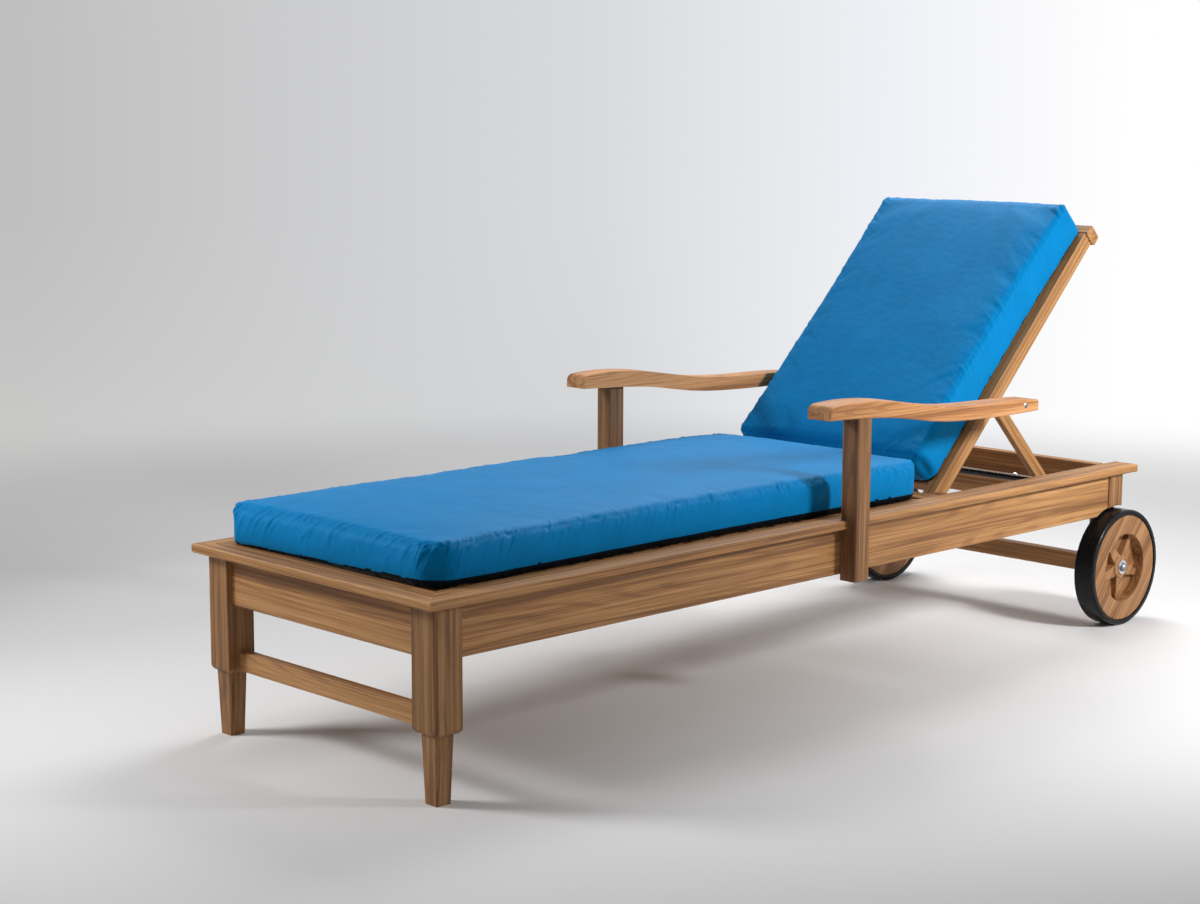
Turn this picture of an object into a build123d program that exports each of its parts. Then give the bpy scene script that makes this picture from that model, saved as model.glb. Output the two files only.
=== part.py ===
from build123d import *
import math
import os

# A wooden sun lounger: a long low bed on two tapered feet and two wheels, with a reclining
# back on a folding prop, shaped arms on posts outside the rails, and two cushions.
# Millimetres. +X runs to the head end, -Y is the sitter's left side, z = 0 is the floor.
# Stations are distances from the foot edge of the caps.

# Bed outline
cap_length = 2000.0
cap_span = 652.0
cap_top = 344.0
cap_thickness = 16.0
cap_board_width = 59.0
cap_side_overhang = 14.0
cap_foot_overhang = 22.0
cap_head_overhang = 34.0
cap_edge_ease = 2.0
cap_groove_inset = 31.0
cap_groove_width = 2.5
cap_groove_depth = 1.5

# Legs
front_leg_depth = 55.0
front_leg_width = 60.0
front_leg_step = 116.0
front_leg_corner_radius = 9.0
front_leg_step_radius = 11.0
foot_top_side = 38.0
foot_tip_side = 30.0
rear_leg_depth = 50.0
rear_leg_width = 49.0
wheel_relief = 20.0
wheel_room = 6.0

# Rails and stretchers
rail_bottom = 240.0
rail_thickness = 24.0
rail_recess = 4.0
foot_rail_recess = 10.0
head_rail_recess = 4.0
foot_stretcher_thickness = 22.0
foot_stretcher_height = 34.0
foot_stretcher_recess = 24.0
foot_stretcher_lift = 3.0
head_stretcher_thickness = 28.0
head_stretcher_height = 36.0
tenon_thickness = 8.0
tenon_length = 22.0
tenon_shoulder = 6.0
tenon_gap = 0.2
board_ease = 1.5

# Seat deck
bearer_width = 40.0
bearer_depth = 28.0
slat_width = 50.0
slat_thickness = 18.0
slat_drop = 4.0
slat_gap_least = 20.0
slat_end_gap = 2.0
deck_end_gap = 9.0
cross_rail_height = 44.0
cross_rail_thickness = 24.0
cross_rail_shares = (0.34, 0.68)

# Back frame
back_length = 748.0
back_angle = 45.0
pivot_drop = 24.0
pivot_to_head_rail = 520.0
stile_depth = 34.0
stile_thickness = 30.0
top_rail_length = 26.0
top_rail_depth = 40.0
top_rail_overhang = 4.0
bottom_rail_width = 44.0
bottom_rail_start = 26.0
bottom_rail_thickness = 26.0
back_slat_width = 52.0
back_slat_thickness = 15.0
back_slat_gap_least = 20.0
back_slat_tenon = 10.0
back_rest_gap = 1.0

# Prop
stay_width = 25.0
stay_thickness = 15.0
rod_radius = 7.0
rod_reach = 261.0
rack_top_gap = 0.3
prop_side_gap = 2.0
prop_end_gap = 3.0
rack_thickness = 40.0
rack_depth = 46.0
rack_notch_depth = 12.0
rack_notch_radius = 8.0
rack_entry_slope = 35.0
rack_end_margin = 24.0
rack_leg_gap = 2.0
notch_angles = (18.0, 32.0, 45.0, 60.0)
rest_rail_thickness = 20.0
rest_rail_height = 18.0
rest_rail_drop = 15.0
rest_rail_from_head = 40.0
rest_bolt_place = 86.0
rest_bolt_radius = 3.0
rest_bolt_head_radius = 8.0
rest_bolt_grip = 14.0

# Pivot blocks and bolts
block_length = 48.0
block_depth = 30.0
block_crown_radius = 19.0
bolt_radius = 5.0
bolt_play = 0.05
bolt_head_radius = 9.0
bolt_head_height = 5.0
pivot_bolt_cover = 14.0
washer_radius = 12.0
stay_bolt_grip = 17.0
side_play = 0.3

# Arms
post_station = 1014.0
post_depth = 40.0
post_thickness = 38.0
post_below_rail = 11.0
arm_width = 55.0
arm_past_post = 4.0
arm_front_reach = 85.0
arm_length = 656.0
arm_edge_radius = 4.0
arm_nose_radius = 14.0
arm_chin_radius = 5.0
arm_seat_height = 538.0
arm_thickness = 32.0
arm_dip = 36.0
arm_top_rise_shares = (0.78, 1.02, 1.0, 0.95, 0.9, 0.88, 0.7)
arm_bottom_fall_shares = (-0.10, 0.0, 0.22, 0.75, 0.95, 1.02, 0.98)
arm_station_shares = (0.0, 0.13, 0.29, 0.49, 0.65, 0.86, 1.0)
arm_bolt_radius = 6.0
arm_bolt_head_height = 2.0
arm_bolt_inset = 46.0
arm_bolt_rise = 14.0
post_bolt_radius = 4.0
post_bolt_rise = 18.0
post_bolt_pitch = 26.0
post_bolt_count = 2
post_bolt_grip = 23.0

# Wheels
wheel_radius = 126.0
tyre_thickness = 11.0
tyre_width = 48.0
tyre_shoulder = 5.0
disc_width = 44.0
disc_edge_ease = 2.0
disc_recess_radius = 74.0
disc_recess_depth = 25.0
hub_radius = 25.0
hub_drop = 7.0
spoke_count = 5
spoke_root_width = 30.0
spoke_tip_width = 13.0
spoke_root_drop = 8.0
spoke_tip_drop = 16.0
spoke_turn = 54.0
axle_radius = 6.0
bush_wall = 3.0
round_fit_gap = 0.05
wheel_washer_thickness = 4.0
wheel_washer_radius = 15.0
hub_washer_thickness = 2.0
hub_nut_radius = 10.0
hub_nut_height = 9.0

# Cushions
seat_cushion_side_lap = 14.0
seat_cushion_foot_lap = 11.0
seat_cushion_shift = 9.0
seat_cushion_pivot_gap = 88.0
seat_cushion_height = 84.0
seat_cushion_crown = 12.0
back_cushion_half_width = 253.0
back_cushion_shift = 33.0
back_cushion_start = 24.0
back_cushion_end = 742.0
back_cushion_height = 96.0
back_cushion_crown = 12.0
cushion_side_bulge = 7.0
cushion_side_draw = 9.0
cushion_base_inset = 44.0
cushion_base_rise = 12.0
cushion_end_inset = 16.0
cushion_nose = 36.0
cushion_shoulder = 140.0
cushion_nose_place_shares = (0.0, 0.1, 0.38, 1.0)
cushion_nose_inset_shares = (1.0, 0.56, 0.15, 0.0)
cushion_nose_crown_shares = (0.2, 0.3, 0.45, 0.6)
cushion_shoulder_draw_share = 0.5
cushion_shoulder_crown_share = 0.85
cushion_lift = 0.4

cut_overrun = 5.0

# Places worked out from the sizes above
overall_length = cap_length - cap_head_overhang - rear_leg_depth / 2 + wheel_radius
foot_x = -overall_length / 2
head_x = foot_x + cap_length
cap_bottom = cap_top - cap_thickness
pivot_height = cap_top - pivot_drop
cap_out = cap_span / 2
cap_in = cap_out - cap_board_width
leg_out = cap_out - cap_side_overhang
front_leg_x = foot_x + cap_foot_overhang
front_leg_back_x = front_leg_x + front_leg_depth
front_leg_in = leg_out - front_leg_width
rear_leg_back_x = head_x - cap_head_overhang
rear_leg_x = rear_leg_back_x - rear_leg_depth
rear_leg_in = leg_out - rear_leg_width
axle_x = (rear_leg_x + rear_leg_back_x) / 2
axle_z = wheel_radius
rail_out = leg_out - rail_recess
rail_in = rail_out - rail_thickness
head_rail_back_x = rear_leg_back_x - head_rail_recess
head_rail_x = head_rail_back_x - rail_thickness
deck_top = cap_top - slat_drop
deck_under = deck_top - slat_thickness
pivot_x = head_rail_x - pivot_to_head_rail
low_contact = math.hypot(pivot_to_head_rail, pivot_drop)
low_angle = math.degrees(
    math.atan2(pivot_drop, pivot_to_head_rail)
    + math.asin((stile_depth / 2 + back_rest_gap) / low_contact)
)
rack_in = rail_in - rack_thickness
stay_out = rack_in - prop_side_gap
stay_in = stay_out - stay_thickness
stile_half_span = stay_in - prop_side_gap
stay_end_radius = stay_width / 2
low_cosine = math.cos(math.radians(low_angle))
prop_arm = (pivot_to_head_rail - stay_end_radius - prop_end_gap) / (2 * low_cosine)
stile_in = stile_half_span - stile_thickness
block_in = stile_half_span + prop_side_gap
rack_top = pivot_height - rod_radius - rack_top_gap
arm_out = rail_out + post_thickness + arm_past_post
wheel_leg_out = leg_out - wheel_relief
arch_rise = max(2 * wheel_radius + wheel_room - rail_bottom, 0)
disc_in = wheel_leg_out + wheel_washer_thickness + side_play
disc_radius = wheel_radius - tyre_thickness
bush_radius = axle_radius + bush_wall
post_x = foot_x + post_station


def block(x0, x1, y0, y1, z0, z1):
    """A square block between two corners."""
    return Pos((x0 + x1) / 2, (y0 + y1) / 2, (z0 + z1) / 2) * Box(x1 - x0, y1 - y0, z1 - z0)


def board(x0, x1, y0, y1, z0, z1, along, ease=board_ease):
    """A planed board with its long edges taken off."""
    solid = block(x0, x1, y0, y1, z0, z1)
    return chamfer(solid.edges().filter_by(along), ease)


def rod_along_y(x, z, radius, y0, y1):
    """A round bar across the bed."""
    return Pos(x, (y0 + y1) / 2, z) * Rot(90, 0, 0) * Cylinder(radius, y1 - y0)


def other_side(solid):
    """The same piece for the sitter's right side."""
    return mirror(solid, about=Plane.XZ)


def side_tenon(x, outward, z0, z1, gap=0.0):
    """A side rail's tenon, from its shoulder at x into a leg."""
    end = x + outward * (tenon_length + gap)
    middle = (rail_out + rail_in) / 2
    half = tenon_thickness / 2 + gap
    low = z0 + tenon_shoulder - gap
    high = z1 - tenon_shoulder + gap
    return block(min(x, end), max(x, end), -middle - half, -middle + half, low, high)


def cross_tenon(middle_x, y, z0, z1, gap=0.0):
    """A cross rail's tenon, from its shoulder at y into the left leg."""
    half = tenon_thickness / 2 + gap
    low = z0 + tenon_shoulder - gap
    high = z1 - tenon_shoulder + gap
    return block(middle_x - half, middle_x + half, -y - tenon_length - gap, -y, low, high)


# The cross members that the legs hold: middle of the tenon, shoulder, bottom and top
foot_rail_x = front_leg_x + foot_rail_recess
foot_rail_tenon_x = foot_rail_x + tenon_thickness
foot_stretcher_x = front_leg_x + foot_stretcher_recess
foot_stretcher_z = front_leg_step + foot_stretcher_lift
head_stretcher_x = axle_x + axle_radius - head_stretcher_thickness
head_stretcher_z = axle_z - head_stretcher_height / 2
head_rail_tenon_x = head_rail_back_x - tenon_thickness
foot_rail_seat = (foot_rail_tenon_x, front_leg_in, rail_bottom, cap_bottom)
foot_stretcher_seat = (
    foot_stretcher_x + foot_stretcher_thickness / 2,
    front_leg_in,
    foot_stretcher_z,
    foot_stretcher_z + foot_stretcher_height,
)
head_rail_seat = (head_rail_tenon_x, rear_leg_in, rail_bottom, cap_bottom)
head_stretcher_seat = (
    head_stretcher_x + tenon_thickness,
    rear_leg_in,
    head_stretcher_z,
    head_stretcher_z + head_stretcher_height,
)


def front_leg():
    """Upper block with rounded lower corners, and a tapered foot under its middle."""
    leg = block(front_leg_x, front_leg_back_x, -leg_out, -front_leg_in, front_leg_step, cap_bottom)
    corner = leg.edges().filter_by(Axis.Z).sort_by(Axis.X)[:2].sort_by(Axis.Y)[0]
    leg = fillet(corner, front_leg_corner_radius)
    rim = leg.faces().sort_by(Axis.Z)[0].edges()
    leg = fillet(rim, front_leg_step_radius)
    middle = Pos((front_leg_x + front_leg_back_x) / 2, -(leg_out + front_leg_in) / 2, 0)
    tip = middle * Rectangle(foot_tip_side, foot_tip_side)
    top = middle * Pos(0, 0, front_leg_step + cut_overrun) * Rectangle(foot_top_side, foot_top_side)
    foot = loft([tip, top], ruled=True)
    upright = foot.edges().filter_by(lambda edge: edge.bounding_box().size.Z > front_leg_step)
    leg = leg + chamfer(upright, board_ease)
    leg = leg - side_tenon(front_leg_back_x, -1, rail_bottom, cap_bottom, tenon_gap)
    leg = leg - cross_tenon(*foot_rail_seat, tenon_gap)
    return leg - cross_tenon(*foot_stretcher_seat, tenon_gap)


def wheel_arch():
    """The room round a wheel, cut into the outer faces of its leg and rail."""
    return rod_along_y(
        axle_x, axle_z, wheel_radius + wheel_room, -leg_out - cut_overrun, -wheel_leg_out
    )


def rear_leg():
    """A straight leg, thinner beside the wheel, with a round lower end about the axle."""
    leg = board(rear_leg_x, rear_leg_back_x, -leg_out, -rear_leg_in, axle_z, cap_bottom, Axis.Z)
    leg = leg + rod_along_y(axle_x, axle_z, rear_leg_depth / 2, -leg_out, -rear_leg_in)
    leg = leg - rod_along_y(
        axle_x, axle_z, axle_radius + round_fit_gap, -leg_out - cut_overrun, -rear_leg_in + cut_overrun
    )
    leg = leg - side_tenon(rear_leg_x, 1, rail_bottom + arch_rise, cap_bottom, tenon_gap)
    leg = leg - wheel_arch()
    leg = leg - cross_tenon(*head_rail_seat, tenon_gap)
    return leg - cross_tenon(*head_stretcher_seat, tenon_gap)


def side_rail():
    """The deep rail between the legs, tenoned at both ends, its corner cut over the wheel."""
    rail = board(
        front_leg_back_x, rear_leg_x, -rail_out, -rail_in, rail_bottom, cap_bottom, Axis.X
    )
    rail = rail + side_tenon(front_leg_back_x, -1, rail_bottom, cap_bottom)
    return rail - wheel_arch() + side_tenon(rear_leg_x, 1, rail_bottom + arch_rise, cap_bottom)


def cross_member(x0, x1, seat, top):
    """A rail or stretcher across the bed, tenoned into both legs."""
    middle_x, shoulder, bottom, _ = seat
    rail = board(x0, x1, -shoulder, shoulder, bottom, top, Axis.Y)
    tenon = cross_tenon(*seat)
    return rail + tenon + other_side(tenon)


def head_stretcher():
    """The stretcher that the axle lies in, in a groove along its head side."""
    rail = cross_member(
        head_stretcher_x,
        head_stretcher_x + head_stretcher_thickness,
        head_stretcher_seat,
        head_stretcher_z + head_stretcher_height,
    )
    seat = axle_radius + round_fit_gap
    groove = rod_along_y(axle_x, axle_z, seat, -leg_out, leg_out)
    mouth_x = axle_x + axle_radius + cut_overrun
    mouth = block(axle_x, mouth_x, -leg_out, leg_out, axle_z - seat, axle_z + seat)
    return rail - groove - mouth


def cap_outline_cut(x_foot, y_side, sign):
    """The waste on one side of a mitre that starts at a foot corner."""
    far = cap_board_width + cut_overrun
    with BuildPart() as waste:
        with BuildSketch(Plane.XY.offset(cap_bottom - cut_overrun)):
            with BuildLine():
                if sign > 0:
                    Polyline(
                        (x_foot - cut_overrun, -y_side - cut_overrun),
                        (x_foot + far, -y_side + far),
                        (x_foot - cut_overrun, -y_side + far),
                        close=True,
                    )
                else:
                    Polyline(
                        (x_foot - cut_overrun, -y_side - cut_overrun),
                        (x_foot + far, -y_side + far),
                        (x_foot + far, -y_side - cut_overrun),
                        close=True,
                    )
            make_face()
        extrude(amount=cap_thickness + 2 * cut_overrun)
    return waste.part


def side_cap():
    """The flat board on the side rail, mitred at the foot and notched round the arm post."""
    cap = board(
        foot_x, head_x, -cap_out, -cap_in, cap_bottom, cap_top, Axis.X, cap_edge_ease
    )
    line_y = -cap_out + cap_groove_inset
    cap = cap - block(
        foot_x - cut_overrun,
        head_x + cut_overrun,
        line_y - cap_groove_width / 2,
        line_y + cap_groove_width / 2,
        cap_top - cap_groove_depth,
        cap_top + cut_overrun,
    )
    cap = cap - cap_outline_cut(foot_x, cap_out, 1)
    return cap - block(
        post_x,
        post_x + post_depth,
        -cap_out - cut_overrun,
        -rail_out,
        cap_bottom - cut_overrun,
        cap_top + cut_overrun,
    )


def foot_cap():
    """The board across the foot end, mitred into both side caps."""
    cap = board(
        foot_x, foot_x + cap_board_width, -cap_out, cap_out, cap_bottom, cap_top, Axis.Y, cap_edge_ease
    )
    line_x = foot_x + cap_groove_inset
    cap = cap - block(
        line_x - cap_groove_width / 2,
        line_x + cap_groove_width / 2,
        -cap_out - cut_overrun,
        cap_out + cut_overrun,
        cap_top - cap_groove_depth,
        cap_top + cut_overrun,
    )
    waste = cap_outline_cut(foot_x, cap_out, -1)
    return cap - waste - other_side(waste)


# Seat deck
deck_start_x = front_leg_back_x + slat_end_gap
block_x = pivot_x - block_length / 2
deck_end_x = block_x - deck_end_gap
slat_reach = cap_in - slat_end_gap
slat_pitch_least = slat_width + slat_gap_least
slat_count = int((deck_end_x - deck_start_x - slat_width) // slat_pitch_least) + 1
slat_pitch = (deck_end_x - deck_start_x - slat_width) / (slat_count - 1)


def slat_bearer():
    """The ledge inside a side rail that carries the slat ends."""
    return board(
        front_leg_back_x,
        deck_end_x,
        -rail_in,
        -rail_in + bearer_width,
        deck_under - bearer_depth,
        deck_under,
        Axis.X,
    )


def seat_slats():
    """The slats across the seat, as separate boards."""
    slats = []
    for index in range(slat_count):
        x = deck_start_x + index * slat_pitch
        slats.append(
            board(x, x + slat_width, -slat_reach, slat_reach, deck_under, deck_top, Axis.Y)
        )
    return Compound(children=slats)


def seat_cross_rail(share):
    """A rail under the slats, housed between the bearers' inner faces."""
    reach = rail_in - bearer_width
    x = deck_start_x + share * (deck_end_x - deck_start_x)
    half = cross_rail_thickness / 2
    return board(
        x - half, x + half, -reach, reach, deck_under - cross_rail_height, deck_under, Axis.Y
    )


# Rack and back rest rail
def rod_x_at(angle):
    """Where the prop rod stands when the back is at this angle."""
    return pivot_x + 2 * prop_arm * math.cos(math.radians(angle))


rack_start_x = rod_x_at(max(notch_angles)) - rack_end_margin
rack_end_x = rear_leg_x - rack_leg_gap


def notch(x):
    """A round-bottomed notch, open at the top and sloped on the head side."""
    bottom_z = rack_top - rack_notch_depth + rack_notch_radius
    slope = (rack_notch_depth + cut_overrun) * math.tan(math.radians(rack_entry_slope))
    top_z = rack_top + cut_overrun
    with BuildSketch(Plane.XZ) as mouth:
        with BuildLine():
            Polyline(
                (x - rack_notch_radius, bottom_z),
                (x - rack_notch_radius, top_z),
                (x + rack_notch_radius + slope, top_z),
                (x + rack_notch_radius, bottom_z),
                close=True,
            )
        make_face()
    reach = rail_out
    well = extrude(mouth.sketch, amount=reach, both=True)
    return well + rod_along_y(x, bottom_z, rack_notch_radius, -reach, reach)


def notched_rack():
    """The notched board inside the side rail that the prop rod stands over."""
    rack = board(
        rack_start_x, rack_end_x, -rail_in, -rack_in, rack_top - rack_depth, rack_top, Axis.X
    )
    for angle in notch_angles:
        rack = rack - notch(rod_x_at(angle))
    return rack


rest_rail_back_x = head_rail_x - rest_rail_from_head
rest_rail_x = rest_rail_back_x - rest_rail_thickness
rest_rail_top = pivot_height - rest_rail_drop


def upright_at_rest_bolt(solid):
    """Stand a bolt, drawn along Y with its head outward, in its place on the rest rail."""
    middle_x = (rest_rail_x + rest_rail_back_x) / 2
    return Pos(middle_x, -rest_bolt_place, rest_rail_top) * Rot(90, 0, 0) * solid


def back_rest_rail():
    """The rail between the racks, below the folded prop."""
    bottom = rest_rail_top - rest_rail_height
    rail = board(rest_rail_x, rest_rail_back_x, -rack_in, rack_in, bottom, rest_rail_top, Axis.Y)
    hole = rod_along_y(0, 0, rest_bolt_radius + bolt_play, -rest_bolt_grip, cut_overrun)
    hole = upright_at_rest_bolt(hole)
    return rail - hole - other_side(hole)


def rest_rail_bolt():
    """A domed bolt that stands in the rest rail."""
    head = domed_head(0, 0, 0, rest_bolt_head_radius, bolt_head_height, 1)
    return upright_at_rest_bolt(rod_along_y(0, 0, rest_bolt_radius, -rest_bolt_grip, 0) + head)


def pivot_block():
    """The block that holds a pivot bolt: low under the cap, with a round crown beside it."""
    base_z = pivot_height - block_depth
    base = block(
        block_x, block_x + block_length, -rail_in, -block_in, base_z, cap_bottom - tenon_gap
    )
    crown = rod_along_y(pivot_x, pivot_height, block_crown_radius, -cap_in + slat_end_gap, -block_in)
    hole_end = -rail_in + pivot_bolt_cover
    hole = rod_along_y(
        pivot_x, pivot_height, bolt_radius + bolt_play, hole_end, -block_in + cut_overrun
    )
    return base + crown - hole


def domed_head(x, y, z, radius, height, sign):
    """A low domed bolt head that stands out along Y from y."""
    sphere_radius = (radius**2 + height**2) / (2 * height)
    ball = Pos(x, y + sign * (height - sphere_radius), z) * Sphere(sphere_radius)
    keep = rod_along_y(x, z, radius, min(y, y + sign * height), max(y, y + sign * height))
    return ball & keep


def pivot_bolt():
    """The bolt that the back turns on, from inside the stile into the block."""
    head_y = -stile_in + side_play
    shank = rod_along_y(pivot_x, pivot_height, bolt_radius, -rail_in + pivot_bolt_cover, head_y)
    return shank + domed_head(
        pivot_x, head_y, pivot_height, bolt_head_radius, bolt_head_height, 1
    )


def pivot_washer():
    """A flat washer on the pivot block, just clear of the stile."""
    face_y = -stile_half_span - side_play
    ring = rod_along_y(pivot_x, pivot_height, washer_radius, -block_in, face_y)
    return ring - rod_along_y(
        pivot_x, pivot_height, bolt_radius + bolt_play, -block_in - cut_overrun, -stile_in
    )


# Back frame, drawn flat along +X from its pivot and then turned up to its angle
def raise_back(solid):
    """Put a back piece, drawn lying flat from the pivot, at its resting angle."""
    return Pos(pivot_x, 0, pivot_height) * Rot(0, -back_angle, 0) * solid


stile_top = back_length - top_rail_length
stay_pivot = prop_arm
back_slat_zone = stile_top - bottom_rail_start - bottom_rail_width - back_slat_gap_least
back_slat_count = int(back_slat_zone // (back_slat_width + back_slat_gap_least))
back_slat_pitch = back_slat_zone / back_slat_count
back_front = stile_depth / 2


def stile():
    """A side member of the back, round at its pivot end."""
    body = board(0, stile_top, -stile_half_span, -stile_in, -back_front, back_front, Axis.X)
    body = body + rod_along_y(0, 0, back_front, -stile_half_span, -stile_in)
    body = body - rod_along_y(
        0, 0, bolt_radius + bolt_play, -stile_half_span - cut_overrun, -stile_in + cut_overrun
    )
    body = body - rod_along_y(
        stay_pivot,
        0,
        bolt_radius + bolt_play,
        -stile_half_span - cut_overrun,
        -stile_half_span + stay_bolt_grip,
    )
    body = body - rail_mortise(bottom_rail_start, bottom_rail_width, bottom_rail_thickness, tenon_gap)
    for index in range(back_slat_count):
        body = body - rail_mortise(
            back_slat_start(index), back_slat_width, back_slat_thickness, tenon_gap
        )
    return body


def back_slat_start(index):
    """Where a back slat begins, measured along the back from its pivot."""
    first = bottom_rail_start + bottom_rail_width + back_slat_gap_least
    return first + index * back_slat_pitch


def rail_mortise(start, width, thickness, gap=0.0):
    """The tenon of a back rail or slat in the left stile, or its mortise with a gap."""
    middle = back_front - thickness / 2
    half = min(tenon_thickness, thickness / 2) / 2 + gap
    return block(
        start + tenon_shoulder - gap,
        start + width - tenon_shoulder + gap,
        -stile_in - back_slat_tenon - gap,
        -stile_in,
        middle - half,
        middle + half,
    )


def back_cross_board(start, width, thickness):
    """A rail or slat across the back, flush with the front of the stiles."""
    body = board(
        start, start + width, -stile_in, stile_in, back_front - thickness, back_front, Axis.Y
    )
    tenon = rail_mortise(start, width, thickness)
    return body + tenon + other_side(tenon)


def back_top_rail():
    """The rail that caps both stiles, its ends a little proud of them."""
    reach = stile_half_span + top_rail_overhang
    back_z = back_front - top_rail_depth
    ease = board_ease + cap_edge_ease
    return board(stile_top, back_length, -reach, reach, back_z, back_front, Axis.Y, ease)


def stay_bolt():
    """The shoulder bolt from outside through the stay into the stile, with its washer."""
    tip = -stile_half_span + stay_bolt_grip
    shank = rod_along_y(stay_pivot, 0, bolt_radius, -stay_out - side_play, tip)
    head = domed_head(
        stay_pivot, -stay_out - side_play, 0, bolt_head_radius, bolt_head_height, -1
    )
    washer = rod_along_y(stay_pivot, 0, washer_radius, -stay_in + side_play, -stile_half_span)
    return shank + head + washer


# Prop: in the bed's own frame at the resting angle
rest_radians = math.radians(back_angle)
stay_top_x = pivot_x + prop_arm * math.cos(rest_radians)
stay_top_z = pivot_height + prop_arm * math.sin(rest_radians)
rod_x = rod_x_at(back_angle)


def stay():
    """A leg of the prop, round at both ends, bored for its bolt and for the rod."""
    middle_x = (stay_top_x + rod_x) / 2
    middle_z = (stay_top_z + pivot_height) / 2
    middle = Pos(middle_x, -(stay_in + stay_out) / 2, middle_z)
    bar = middle * Rot(0, back_angle, 0) * Box(prop_arm, stay_thickness, stay_width)
    bar = bar + rod_along_y(stay_top_x, stay_top_z, stay_end_radius, -stay_out, -stay_in)
    bar = bar + rod_along_y(rod_x, pivot_height, stay_end_radius, -stay_out, -stay_in)
    y0 = -stay_out - cut_overrun
    y1 = -stay_in + cut_overrun
    bore = rod_along_y(stay_top_x, stay_top_z, bolt_radius + bolt_play, y0, y1)
    socket = rod_along_y(rod_x, pivot_height, rod_radius + round_fit_gap, y0, y1)
    return bar - bore - socket


def prop_rod():
    """The steel rod between the stays, its ends over the racks."""
    rod = rod_along_y(rod_x, pivot_height, rod_radius, -rod_reach, rod_reach)
    return chamfer(rod.edges(), board_ease)


# Arms
arm_x = post_x - arm_front_reach


def arm_profile():
    """The arm seen from the side: a rounded nose, a hump over the post and a long dip."""
    low = [
        (
            arm_x + share * arm_length,
            arm_seat_height - fall * arm_dip,
        )
        for share, fall in zip(arm_station_shares, arm_bottom_fall_shares)
    ]
    high = [
        (x, z + rise_share * arm_thickness)
        for (x, z), rise_share in zip(low, arm_top_rise_shares)
    ]
    with BuildSketch(Plane.XZ) as side:
        with BuildLine():
            Spline(*low)
            Line(low[-1], high[-1])
            Spline(*high)
            Line(high[0], low[0])
        make_face()
    return side.sketch


def arm():
    """A shaped arm: the side profile at full width, its nose and long edges rounded."""
    body = Pos(0, -arm_out + arm_width, 0) * extrude(arm_profile(), amount=arm_width)
    nose = body.edges().filter_by(Axis.Y).sort_by(Axis.X)[:2].sort_by(Axis.Z)
    body = fillet(nose[-1], arm_nose_radius)
    lower = body.edges().filter_by(Axis.Y).sort_by(Axis.X)[:2].sort_by(Axis.Z)[0]
    body = fillet(lower, arm_chin_radius)
    crown = body.faces().sort_by(lambda face: face.bounding_box().size.X)[-2:].sort_by(Axis.Z)[-1]
    long_edges = crown.edges().filter_by(lambda edge: edge.bounding_box().size.X > arm_width)
    return fillet(long_edges, arm_edge_radius)


def arm_post():
    """The post outside the rail, scribed to the underside of the arm."""
    post = board(
        post_x,
        post_x + post_depth,
        -rail_out - post_thickness,
        -rail_out,
        rail_bottom - post_below_rail,
        arm_seat_height + arm_thickness / 2,
        Axis.Z,
    )
    return post - arm()


def post_bolts():
    """Two bolts on each side, from inside the rail into the post."""
    bolts = []
    x = post_x + post_depth / 2
    for step in range(post_bolt_count):
        z = rail_bottom + post_bolt_rise + step * post_bolt_pitch
        shank = rod_along_y(x, z, post_bolt_radius, -rail_out - post_bolt_grip, -rail_in)
        head = domed_head(x, -rail_in, z, bolt_head_radius, bolt_head_height, 1)
        bolts.append(shank + head)
    return bolts


def drill_for_post_bolts(solid, y0, y1):
    """The piece with the post bolts' holes drilled through it from y0 to y1."""
    for step in range(post_bolt_count):
        z = rail_bottom + post_bolt_rise + step * post_bolt_pitch
        radius = post_bolt_radius + bolt_play
        solid = solid - rod_along_y(post_x + post_depth / 2, z, radius, y0, y1)
    return solid


def arm_bolt_place():
    """The middle of the cross bolt near the arm's rear end."""
    x = arm_x + arm_length - arm_bolt_inset
    return x, arm_seat_height - arm_dip * arm_bottom_fall_shares[-1] + arm_bolt_rise


def arm_bolt():
    """The domed bolt across the arm near its rear end."""
    x, z = arm_bolt_place()
    shank = rod_along_y(x, z, post_bolt_radius, -arm_out, -arm_out + arm_width)
    head = domed_head(x, -arm_out, z, arm_bolt_radius, arm_bolt_head_height, -1)
    tail = domed_head(x, -arm_out + arm_width, z, arm_bolt_radius, arm_bolt_head_height, 1)
    return shank + head + tail


# Wheels
def wheel_frame(solid):
    """Turn a wheel piece, drawn round Z with its inner face at zero, to the left side."""
    return Pos(axle_x, -disc_in, axle_z) * Rot(90, 0, 0) * solid


def spoke():
    """One raised arm of the star, narrow and low at the rim, high at the hub."""
    web = disc_width - disc_recess_depth
    reach = disc_recess_radius + round_fit_gap
    root = Plane((0, 0, 0), x_dir=(0, 1, 0), z_dir=(1, 0, 0))
    root_height = disc_recess_depth - spoke_root_drop
    tip_height = disc_recess_depth - spoke_tip_drop
    with BuildPart() as arm_solid:
        with BuildSketch(root):
            with Locations((0, web + root_height / 2)):
                Rectangle(spoke_root_width, root_height)
        with BuildSketch(root.offset(reach)):
            with Locations((0, web + tip_height / 2)):
                Rectangle(spoke_tip_width, tip_height)
        loft(ruled=True)
    return arm_solid.part


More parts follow.
